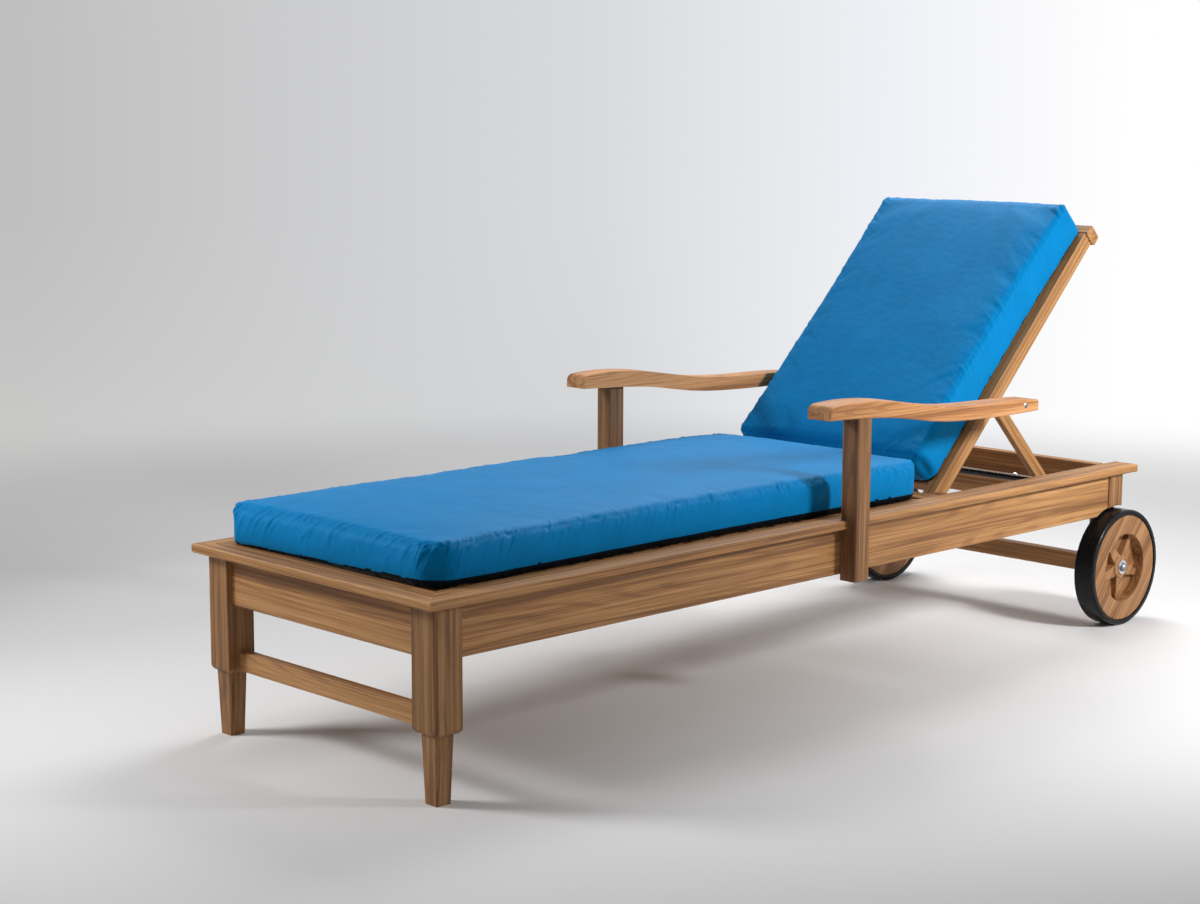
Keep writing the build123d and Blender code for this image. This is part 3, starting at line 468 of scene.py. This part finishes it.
def finish_frame():
    """Put every board, wheel and fitting of the frame in its material."""
    give(GRAIN_ALONG_BED, oiled_teak("oiled_teak_along_bed"))
    give(GRAIN_ACROSS, oiled_teak("oiled_teak_across", (0, 0, -QUARTER_TURN)))
    back_slats = [name for name in nodes if name.startswith("back_slat_")]
    give(back_slats, oiled_teak("oiled_teak_back_slats", (0, 0, -QUARTER_TURN)))
    upright = (0, QUARTER_TURN, 0)
    # The legs and posts get the darker copy of the teak: painted shade
    give(GRAIN_UPRIGHT, oiled_teak("oiled_teak_upright_painted_shade", upright, PAINTED_SHADE_POST_LIGHT, PAINTED_SHADE_POST_MIDDLE, PAINTED_SHADE_POST_DARK))
    give(GRAIN_UP_BACK, oiled_teak("oiled_teak_up_back", (0, BACK_ANGLE, 0)))
    give(GRAIN_DOWN_PROP, oiled_teak("oiled_teak_down_prop", (0, -BACK_ANGLE, 0)))
    # The arms get the lighter copy of the teak: painted light
    give(ARMS, oiled_teak("oiled_teak_arms_painted_light", (0, 0, 0), PAINTED_LIT_ARM_LIGHT, PAINTED_LIT_ARM_MIDDLE, PAINTED_LIT_ARM_DARK))
    turned = (0, WHEEL_GRAIN, 0)
    # The wheels get the darker copy of the teak: painted shade
    give(WHEEL_DISCS, oiled_teak("oiled_teak_wheel_painted_shade", turned, PAINTED_SHADE_WHEEL_LIGHT, PAINTED_SHADE_WHEEL_MIDDLE, PAINTED_SHADE_WHEEL_DARK))
    give(TYRES, moulded_rubber("moulded_tyre_rubber"))
    give(BUSHES, rolled_steel("black_nylon", "#1A1A1C", 0.5, 0.0))
    give(BRIGHT_FITTINGS, rolled_steel("polished_stainless_steel", "#D5D7DA", 0.2))
    give(DULL_FITTINGS, rolled_steel("dull_zinc_steel", "#8D9094", 0.42))
    give(["prop_rod"], rolled_steel("black_coated_steel", "#0B0C0E", 0.25, 0.0))


def edge_arc(distance, radius):
    """How much a rounded edge draws a point this far from it along its own face, and behind it."""
    turn = max(0.0, 1 - distance / radius)
    angle = turn * math.pi / 4
    return radius * (turn - math.sin(angle)), radius * (1 - math.cos(angle))


def rounded(offset, half, corner, other_offset, other_half):
    """One plan coordinate of a rectangle's point, once the rectangle's corners are rounded."""
    into = max(0.0, abs(offset) - (half - corner)) / corner
    other_into = max(0.0, abs(other_offset) - (other_half - corner)) / corner
    pulled = into * math.sqrt(max(0.0, 1 - other_into**2 / 2))
    return math.copysign(min(abs(offset), half - corner) + corner * pulled, offset)


def cover_mesh(name, length, width, pad):
    """A sewn box cover as a grid of quads, which keeps how far each point lies from its seams."""
    height = pad["height"]
    counts = [max(2, round(size / COVER_STEP)) for size in (length, width, height)]
    half_length, half_width = length / 2, width / 2
    points, index = [], {}
    places = {"below_top_seam": [], "above_base_seam": [], "along_seam": [], "from_corner": []}

    def point(i, j, k):
        """A point's number, made once: the distances to seams are negative past them."""
        key = (i, j, k)
        if key not in index:
            index[key] = len(points)
            u, v = (2 * i / counts[0] - 1) * half_length, (2 * j / counts[1] - 1) * half_width
            w = k / counts[2]
            to_end, to_side = half_length - abs(u), half_width - abs(v)
            border = min(to_end, to_side)
            if to_side < to_end:
                along = u if v < 0 else -2 * half_length - 2 * half_width - u
            else:
                along = math.copysign(half_length + half_width + v, u)
            places["along_seam"].append(along)
            places["from_corner"].append(to_end + to_side)
            upper = w > 0.5
            below, above = height * (1 - w), height * w
            if upper:
                edge = pad["end_edge" if to_end < to_side else "top_edge"]
            else:
                far_edge, near_edge = pad["base_edges"]
                edge = far_edge + (near_edge - far_edge) * (0.5 - v / width)
            if border < COVER_STEP / 2:
                slide, behind = edge_arc(below if upper else above, edge)
                inward = behind - 4 * w * (1 - w) * pad["bulge"]
            else:
                inward, slide = edge_arc(border, edge)
                below = -border if upper else height + border
                above = height + border if upper else -border
            places["below_top_seam"].append(below)
            places["above_base_seam"].append(above)
            if inward:
                u *= (half_length - border - inward) / (half_length - border)
                v *= (half_width - border - inward) / (half_width - border)
            corner = pad["near_corner"] if v < 0 else pad["far_corner"]
            x = rounded(u, half_length, corner, v, half_width)
            y = rounded(v, half_width, corner, u, half_length)
            y -= math.copysign(pad["waist"] * (1 - (u / half_length) ** 2), v) * abs(v) / half_width
            dome = max(0.0, 1 - (u / half_length) ** 4) * max(0.0, 1 - (v / half_width) ** 2)
            z = w * height + slide * (-1 if upper else 1)
            z += pad["crown"] * dome * max(0.0, 2 * w - 1)
            x += half_length
            x -= pad["slant"] * y / half_width * max(0.0, 1 - x / half_length)
            points.append((x, y, z))
        return index[key]

    faces = []
    for k in (0, counts[2]):
        for i in range(counts[0]):
            for j in range(counts[1]):
                quad = [point(i, j, k), point(i + 1, j, k), point(i + 1, j + 1, k), point(i, j + 1, k)]
                faces.append(quad if k else quad[::-1])
    for k in range(counts[2]):
        for j in (0, counts[1]):
            for i in range(counts[0]):
                quad = [point(i, j, k), point(i + 1, j, k), point(i + 1, j, k + 1), point(i, j, k + 1)]
                faces.append(quad[::-1] if j else quad)
        for i in (0, counts[0]):
            for j in range(counts[1]):
                quad = [point(i, j, k), point(i, j + 1, k), point(i, j + 1, k + 1), point(i, j, k + 1)]
                faces.append(quad if i else quad[::-1])
    mesh = bpy.data.meshes.new(name)
    mesh.from_pydata(points, [], faces)
    mesh.update()
    for measure, values in places.items():
        mesh.attributes.new(measure, "FLOAT", "POINT").data.foreach_set("value", values)
    return mesh


def fill_cover(cover, seam, gathers):
    """Fill a sewn cover with air pressure while its seams draw up, and keep the result."""
    rest = [v.co.copy() for v in cover.data.vertices]
    draw = cover.vertex_groups.new(name="seam")
    draw.add(seam, 1.0, "REPLACE")
    cloth = cover.modifiers.new("fill", "CLOTH")
    settings = cloth.settings
    settings.quality = 6
    settings.mass = CLOTH_WEIGHT
    settings.tension_stiffness = settings.compression_stiffness = CLOTH_STRETCH
    settings.shear_stiffness = CLOTH_SHEAR
    settings.bending_stiffness = CLOTH_BEND
    settings.use_pressure = True
    settings.uniform_pressure_force = FILL_PRESSURE
    settings.vertex_group_shrink = "seam"
    settings.shrink_min = 0.0
    settings.shrink_max = gathers
    settings.effector_weights.gravity = 0
    cloth.collision_settings.use_collision = False
    scene = bpy.context.scene
    for step in range(1, FILL_STEPS + 1):
        scene.frame_set(step)
    evaluated = cover.evaluated_get(bpy.context.evaluated_depsgraph_get())
    filled = [v.co.copy() for v in evaluated.data.vertices]
    cover.modifiers.remove(cloth)
    cover.vertex_groups.remove(draw)
    scene.frame_set(1)
    for vertex, start, end in zip(cover.data.vertices, rest, filled):
        move = end - start
        if move.length > FILL_CAP:
            move *= FILL_CAP / move.length
        vertex.co = start + move
    cover.data.update()


def measures(mesh, name):
    """One of the cover's kept measures, for each of its points."""
    values = [0.0] * len(mesh.vertices)
    mesh.attributes[name].data.foreach_get("value", values)
    return values


def gathered_fold(along, across, pitch, layer):
    """How far gathered canvas stands out beside a seam: swells, with creases between them."""
    leaning = (along + FOLD_LEAN * across) / pitch
    swell = noise.noise(Vector((leaning, across / (FOLD_STRETCH * pitch), layer)))
    crease = max(0.0, 1 - abs(swell) / CREASE_WIDTH)
    return swell - CREASE_DEPTH * crease


def pucker(cover, pad):
    """Gather the canvas beside both seams: short leaning folds, deeper at the corners."""
    mesh = cover.data
    normals = [vertex.normal.copy() for vertex in mesh.vertices]
    names = ("below_top_seam", "above_base_seam", "along_seam", "from_corner")
    kept = [measures(mesh, name) for name in names]
    pitch = pad["pitch"]
    for vertex, normal, below, above, along, from_corner in zip(mesh.vertices, normals, *kept):
        reach = pad["reach_on_top"] if below < 0 else pad["reach_on_side"]
        top_share = max(0.0, 1 - abs(below) / reach) ** TOP_FOLD_FADE
        base_share = max(0.0, 1 - abs(above) / BASE_FOLD_REACH) * BASE_FOLD_SHARE
        varied = noise.noise(Vector((along / (FOLD_STRETCH * pitch), ALONG_LAYER, 0.0)))
        uneven = FOLD_USUAL + FOLD_VARIES * varied
        uneven += FOLD_CORNER * math.exp(-from_corner / CORNER_REACH)
        depth = 0.0
        if top_share:
            depth += top_share * gathered_fold(along, below, pitch, TOP_LAYER)
        if base_share:
            depth += base_share * gathered_fold(along, above, BASE_FOLD_PITCH * pitch, BASE_LAYER)
        depth *= pad["puckers"] * uneven
        depth -= pad["seam_dent"] * math.exp(-((below / SEAM_WIDTH) ** 2))
        depth += SLACK * noise.noise(vertex.co / SLACK_LENGTH)
        vertex.co += normal * depth
    mesh.update()


def rest_on(cover, height_at):
    """Lift a cushion's underside onto what it rests on, whose height is given for each place."""
    for vertex in cover.data.vertices:
        floor = height_at(vertex.co.x, vertex.co.y)
        vertex.co.z = max(vertex.co.z, floor)


def cushion(name, length, width, pad, place, body, node, canvas, base_cloth_and_shade, height_at):
    """One box cushion: sewn cover, filled, gathered, smoothed, placed and tied to its CAD node."""
    mesh = cover_mesh(name, length, width, pad)
    cover = bpy.data.objects.new(name, mesh)
    bpy.context.scene.collection.objects.link(cover)
    rng = random.Random(UNEVENNESS_SEED)
    for vertex in mesh.vertices:
        jitter = Vector((rng.uniform(-1, 1), rng.uniform(-1, 1), rng.uniform(-1, 1)))
        vertex.co += jitter * UNEVENNESS * MM
    seams = zip(measures(mesh, "below_top_seam"), measures(mesh, "above_base_seam"))
    seam = [at for at, away in enumerate(seams) if min(map(abs, away)) < COVER_STEP / 2]
    fill_cover(cover, seam, pad["gathers"])
    rounding = cover.modifiers.new("rounding", "SUBSURF")
    rounding.levels = rounding.render_levels = 1
    shaped = cover.evaluated_get(bpy.context.evaluated_depsgraph_get())
    cover.data = bpy.data.meshes.new_from_object(shaped)
    cover.data.name = name
    cover.modifiers.remove(rounding)
    pucker(cover, pad)
    rest_on(cover, height_at)
    cover.data.materials.clear()
    cover.data.materials.append(canvas)
    cover.data.materials.append(base_cloth_and_shade)
    # Faces below the band wear the black cloth: the cushion's black underside, and above it painted
    # shade under the cushion's edge, higher on the near side
    far_band, near_band = pad["black_and_shade_band"]
    for face in cover.data.polygons:
        face.use_smooth = True
        band = far_band + (near_band - far_band) * (0.5 - face.center.y / width)
        band += BAND_WAVERS * noise.noise(face.center / BAND_WAVE_LENGTH)
        face.material_index = int(face.center.z < band)
    cover.matrix_world = place
    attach(cover, body)
    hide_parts(node)


def make_cushions():
    """The seat cushion on the slats and the back cushion on the back frame."""
    canvas = woven_canvas("blue_acrylic_canvas", "#037EBE", "#0279B6", 0.42)
    # The black cloth stands for the black underside and for painted shade under the cushions' edges
    base_cloth_and_shade = woven_canvas("black_underside_and_painted_shade", "#0C0D10", "#08090B", 0.05)
    slats_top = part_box("seat_cushion")[0].z
    cap_low, cap_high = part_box("side_cap_right")
    foot_cap_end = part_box("foot_cap")[1].x
    middle = (SEAT_LEFT + SEAT_RIGHT) / 2

    def bed_height(x, y):
        """The caps stand a little above the slats: the cushion's edges lie over them."""
        over_side = abs(y + middle) - (cap_low.y - CAP_LIP)
        over_foot = (foot_cap_end + CAP_LIP) - (x + SEAT_START)
        share = min(1.0, max(0.0, max(over_side, over_foot) / CAP_LIP))
        return (cap_high.z + CAP_CLEARANCE - slats_top) * share

    cushion(
        "seat_pad",
        SEAT_END - SEAT_START,
        SEAT_RIGHT - SEAT_LEFT,
        SEAT_PAD,
        Matrix.Translation((SEAT_START, middle, slats_top)),
        "bed",
        "seat_cushion",
        canvas,
        base_cloth_and_shade,
        bed_height,
    )
    middle_of_back = (BACK_LEFT + BACK_RIGHT) / 2
    lean = Matrix.Translation(PIVOT) @ Matrix.Rotation(-BACK_ANGLE, 4, "Y")
    cushion(
        "back_pad",
        BACK_END - BACK_START,
        BACK_RIGHT - BACK_LEFT,
        BACK_PAD,
        lean @ Matrix.Translation((BACK_START, middle_of_back, BACK_FRONT)),
        "backrest",
        "back_cushion",
        canvas,
        base_cloth_and_shade,
        lambda x, y: 0.0,
    )


def sweep_painted_light(tree, toward, stops):
    """The sweep's painted light and shade, grey on its left to white on its right, for a direction in
    the set.
    """
    across = Vector((math.cos(YAW), -math.sin(YAW), 0))
    side = add(tree, "ShaderNodeVectorMath", {0: toward, 1: across}, operation="DOT_PRODUCT")
    share = add(
        tree, "ShaderNodeMapRange", {0: side.outputs["Value"], 1: -SWEEP_SPREAD, 2: SWEEP_SPREAD}
    )
    return add(tree, "ShaderNodeValToRGB", {0: share.outputs[0]}, stops=stops).outputs[0]


def studio_room():
    """A pale room that lights softly from one side, and shows its sweep's painted light and shade to the
    camera and to gloss.
    """
    bpy.context.scene.view_settings.view_transform = "Standard"
    world = bpy.data.worlds.new("studio")
    bpy.context.scene.world = world
    world.use_nodes = True
    tree = world.node_tree
    tree.nodes.clear()
    toward = add(tree, "ShaderNodeTexCoord").outputs["Generated"]
    # The camera and gloss see the sweep's painted light and shade
    shown = add(tree, "ShaderNodeBackground", {0: sweep_painted_light(tree, toward, SWEEP_PAINTED_LIGHT_STOPS), 1: 1.0})
    facing = add(
        tree,
        "ShaderNodeVectorMath",
        {0: toward, 1: ROOM_BRIGHT_SIDE.normalized()},
        operation="DOT_PRODUCT",
    )
    room = add(
        tree,
        "ShaderNodeMapRange",
        {0: facing.outputs["Value"], 1: -1.0, 2: 1.0, 3: ROOM_DARK, 4: ROOM_BRIGHT},
    )
    lighting = add(tree, "ShaderNodeBackground", {0: linear("#FFFFFF"), 1: room.outputs[0]})
    path = add(tree, "ShaderNodeLightPath")
    seen = add(
        tree,
        "ShaderNodeMath",
        {0: path.outputs["Is Camera Ray"], 1: path.outputs["Is Glossy Ray"]},
        operation="MAXIMUM",
    )
    both = add(
        tree, "ShaderNodeMixShader", {0: seen.outputs[0], 1: lighting.outputs[0], 2: shown.outputs[0]}
    )
    add(tree, "ShaderNodeOutputWorld", {0: both.outputs[0]})


def studio_floor():
    """A matt pale floor that keeps the shadow, and away from the lounger glows to the camera with the
    sweep's painted light and shade.
    """
    reach = FLOOR_REACH
    floor_mesh = bpy.data.meshes.new("floor")
    corners = [(-reach, -reach, 0), (reach, -reach, 0), (reach, reach, 0), (-reach, reach, 0)]
    floor_mesh.from_pydata(corners, [], [(0, 1, 2, 3)])
    floor = bpy.data.objects.new("floor", floor_mesh)
    bpy.context.scene.collection.objects.link(floor)
    material = bpy.data.materials.new("matt_floor_and_glowing_painted_sweep")
    material.use_nodes = True
    tree = material.node_tree
    tree.nodes.clear()
    place = add(tree, "ShaderNodeTexCoord").outputs["Object"]
    away = add(tree, "ShaderNodeVectorMath", {0: place, 1: SWEEP_FRONT}, operation="SUBTRACT")
    toward = add(tree, "ShaderNodeVectorMath", {0: away.outputs[0]}, operation="NORMALIZE").outputs[0]
    distance = add(tree, "ShaderNodeVectorMath", {0: place}, operation="LENGTH").outputs["Value"]
    nearness = add(tree, "ShaderNodeMath", {0: SWEEP_COMPLETE, 1: distance}, operation="DIVIDE")
    risen = add(tree, "ShaderNodeMapRange", {0: nearness.outputs[0], 1: 1.0, 2: SWEEP_RISEN})
    backdrop = add(
        tree,
        "ShaderNodeMix",
        {
            0: risen.outputs[0],
            6: sweep_painted_light(tree, toward, SWEEP_BASE_PAINTED_LIGHT_STOPS),
            7: sweep_painted_light(tree, toward, SWEEP_PAINTED_LIGHT_STOPS),
        },
        data_type="RGBA",
    )
    far = add(
        tree,
        "ShaderNodeMapRange",
        {0: distance, 1: SWEEP_STARTS, 2: SWEEP_COMPLETE},
        interpolation_type="SMOOTHERSTEP",
    )
    path = add(tree, "ShaderNodeLightPath")
    seen = add(
        tree,
        "ShaderNodeMath",
        {0: path.outputs["Is Camera Ray"], 1: far.outputs[0]},
        operation="MULTIPLY",
    )
    paint = add(tree, "ShaderNodeBsdfDiffuse", {0: linear(FLOOR_COLOUR)})
    # Away from the lounger the floor glows to the camera: the sweep's painted light and shade
    glow = add(tree, "ShaderNodeEmission", {0: backdrop.outputs[2], 1: 1.0})
    both = add(
        tree, "ShaderNodeMixShader", {0: seen.outputs[0], 1: paint.outputs[0], 2: glow.outputs[0]}
    )
    add(tree, "ShaderNodeOutputMaterial", {0: both.outputs[0]})
    floor_mesh.materials.append(material)


def light_the_set():
    """Rectangular softboxes, each at its place and pointed at its spot."""
    for name, (place, spot, size, spread, power) in SOFTBOXES.items():
        light = bpy.data.lights.new(name, "AREA")
        light.shape = "RECTANGLE"
        light.size, light.size_y = size
        light.spread = math.radians(spread)
        light.energy = power
        lamp = bpy.data.objects.new(name, light)
        lamp.visible_camera = False
        lamp.location = place
        lamp.rotation_mode = "QUATERNION"
        lamp.rotation_quaternion = (Vector(spot) - Vector(place)).to_track_quat("-Z", "Y")
        bpy.context.scene.collection.objects.link(lamp)


def set_camera():
    """The photograph's own view: its place, heading, tilt and lens."""
    data = bpy.data.cameras.new("camera")
    data.sensor_fit = "HORIZONTAL"
    data.sensor_width = SENSOR_WIDTH
    data.lens = FOCAL_PIXELS / PHOTO_WIDTH * SENSOR_WIDTH
    data.clip_end = 2 * FLOOR_REACH
    viewer = bpy.data.objects.new("camera", data)
    bpy.context.scene.collection.objects.link(viewer)
    ahead = Vector(
        (math.sin(YAW) * math.cos(PITCH), math.cos(YAW) * math.cos(PITCH), -math.sin(PITCH))
    )
    right = Vector((math.cos(YAW), -math.sin(YAW), 0))
    up = right.cross(ahead)
    rolled_right = math.cos(ROLL) * right + math.sin(ROLL) * up
    rolled_up = -math.sin(ROLL) * right + math.cos(ROLL) * up
    turn = Matrix((rolled_right, rolled_up, -ahead)).transposed().to_4x4()
    viewer.matrix_world = Matrix.Translation(CAMERA_PLACE) @ turn
    bpy.context.scene.camera = viewer


set_camera()
studio_room()
studio_floor()
light_the_set()
finish_frame()
make_cushions()
